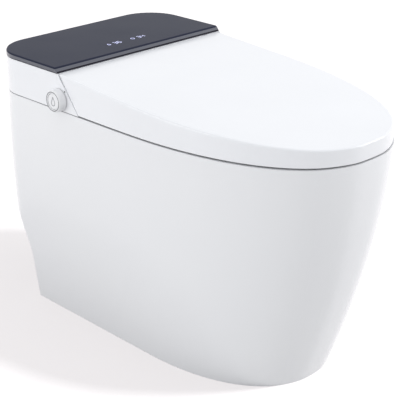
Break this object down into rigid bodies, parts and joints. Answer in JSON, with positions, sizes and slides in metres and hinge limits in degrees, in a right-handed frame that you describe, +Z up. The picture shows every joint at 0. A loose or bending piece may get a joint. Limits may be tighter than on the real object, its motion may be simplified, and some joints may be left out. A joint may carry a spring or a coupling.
{
  "type": "smart toilet with heated seat",
  "caption": "One-piece floor-standing smart toilet: skirted ceramic pan, lid over a heated seat, rear unit with dark top panel, side knob, wash nozzles and dryer.",
  "frame": {"origin": "centre of the waste outlet where it meets the floor", "axes": "+Z up, +Y towards the wall behind the toilet, +X to the left of a person who faces the toilet's front"},
  "size_m": [0.4155, 0.722, 0.511],
  "materials": {
    "ceramic": "white vitreous glaze",
    "white_plastic": "glossy white moulding",
    "panel_glass": "glossy dark slate",
    "panel_trim": "dark satin frame",
    "knob_white": "glossy white",
    "tray_grey": "grey moulding",
    "inner_white": "white moulding",
    "black_plastic": "black moulding",
    "rubber_grey": "soft grey rubber",
    "rubber_white": "soft white rubber",
    "steel": "stainless steel",
    "brass": "brass",
    "motor_metal": "die cast",
    "board_green": "circuit board",
    "hose_grey": "hose",
    "carbon": "activated carbon block",
    "heater_film": "heating film",
    "lamp": "frosted lens"
  },
  "bodies": {
    "toilet": {"ceramic_body": "ceramic", "outlet_seal": "rubber_grey", "rim_gasket": "rubber_grey", "chassis_tray": "tray_grey", "chassis_bolts": "steel", "tub_cover": "tray_grey", "rear_housing": "white_plastic", "housing_screws": "inner_white", "panel_frame": "panel_trim", "top_panel": "panel_glass", "hinge_brackets": "steel", "hinge_pins": "steel", "lid_drive": "black_plastic", "seat_drive": "black_plastic", "nozzle_cradle": "tray_grey", "nozzle_motors": "motor_metal", "dryer_duct": "inner_white", "blower_housing": "black_plastic", "dryer_motor": "motor_metal", "deodorizer_housing": "black_plastic", "deodorizer_motor": "motor_metal", "carbon_cartridge": "carbon", "buffer_tank": "inner_white", "flush_pump": "black_plastic", "pump_motor": "motor_metal", "flush_hose": "hose_grey", "inlet_valve": "brass", "water_inlet_connector": "brass", "supply_hose": "hose_grey", "water_heater": "motor_metal", "wash_hose": "hose_grey", "cable_gland": "black_plastic", "control_board": "board_green", "power_supply": "motor_metal", "display_board": "board_green", "night_light": "lamp", "knob_switch": "black_plastic"},
    "seat": {"seat_upper_shell": "white_plastic", "seat_lower_shell": "white_plastic", "seat_heater": "heater_film", "seat_bumpers": "rubber_grey"},
    "lid": {"lid_shell": "white_plastic", "lid_bumpers": "rubber_white"},
    "knob": {"knob_ring": "knob_white"},
    "button": {"knob_button": "knob_white"},
    "wash_nozzle_body": {"wash_nozzle": "inner_white"},
    "feminine_nozzle_body": {"feminine_nozzle": "inner_white"},
    "flap": {"dryer_flap": "inner_white"},
    "dryer_rotor": {"dryer_impeller": "black_plastic"},
    "deodorizer_rotor": {"deodorizer_fan": "black_plastic"}
  },
  "joints": [
    {"name": "seat_hinge", "type": "hinge", "parent": "toilet", "child": "seat", "pos_m": [0, 0.101, 0.4921], "axis": [-1, 0, 0], "range_deg": [0, 92]},
    {"name": "lid_hinge", "type": "hinge", "parent": "seat", "child": "lid", "pos_m": [0, 0.101, 0.4921], "axis": [1, 0, 0], "range_deg": [-98, 0]},
    {"name": "knob_turn", "type": "hinge", "parent": "toilet", "child": "knob", "pos_m": [-0.2, 0.107, 0.456], "axis": [1, 0, 0], "range_deg": [-40, 40], "stiffness_Nm_per_rad": 0.02},
    {"name": "knob_press", "type": "slide", "parent": "knob", "child": "button", "axis": [1, 0, 0], "range_m": [0, 0.0025], "stiffness_N_per_m": 400},
    {"name": "wash_nozzle_slide", "type": "slide", "parent": "toilet", "child": "wash_nozzle_body", "axis": [0, -0.9397, -0.342], "range_m": [0, 0.09]},
    {"name": "feminine_nozzle_slide", "type": "slide", "parent": "toilet", "child": "feminine_nozzle_body", "axis": [0, -0.9397, -0.342], "range_m": [0, 0.09]},
    {"name": "dryer_flap_hinge", "type": "hinge", "parent": "toilet", "child": "flap", "pos_m": [0.065, 0.035, 0.433], "axis": [-1, 0, 0], "range_deg": [0, 60]},
    {"name": "dryer_spin", "type": "hinge", "parent": "toilet", "child": "dryer_rotor", "pos_m": [0.078, 0.196, 0.455], "axis": [0, 0, 1], "continuous": true},
    {"name": "deodorizer_spin", "type": "hinge", "parent": "toilet", "child": "deodorizer_rotor", "pos_m": [-0.078, 0.196, 0.455], "axis": [0, 0, 1], "continuous": true}
  ]
}
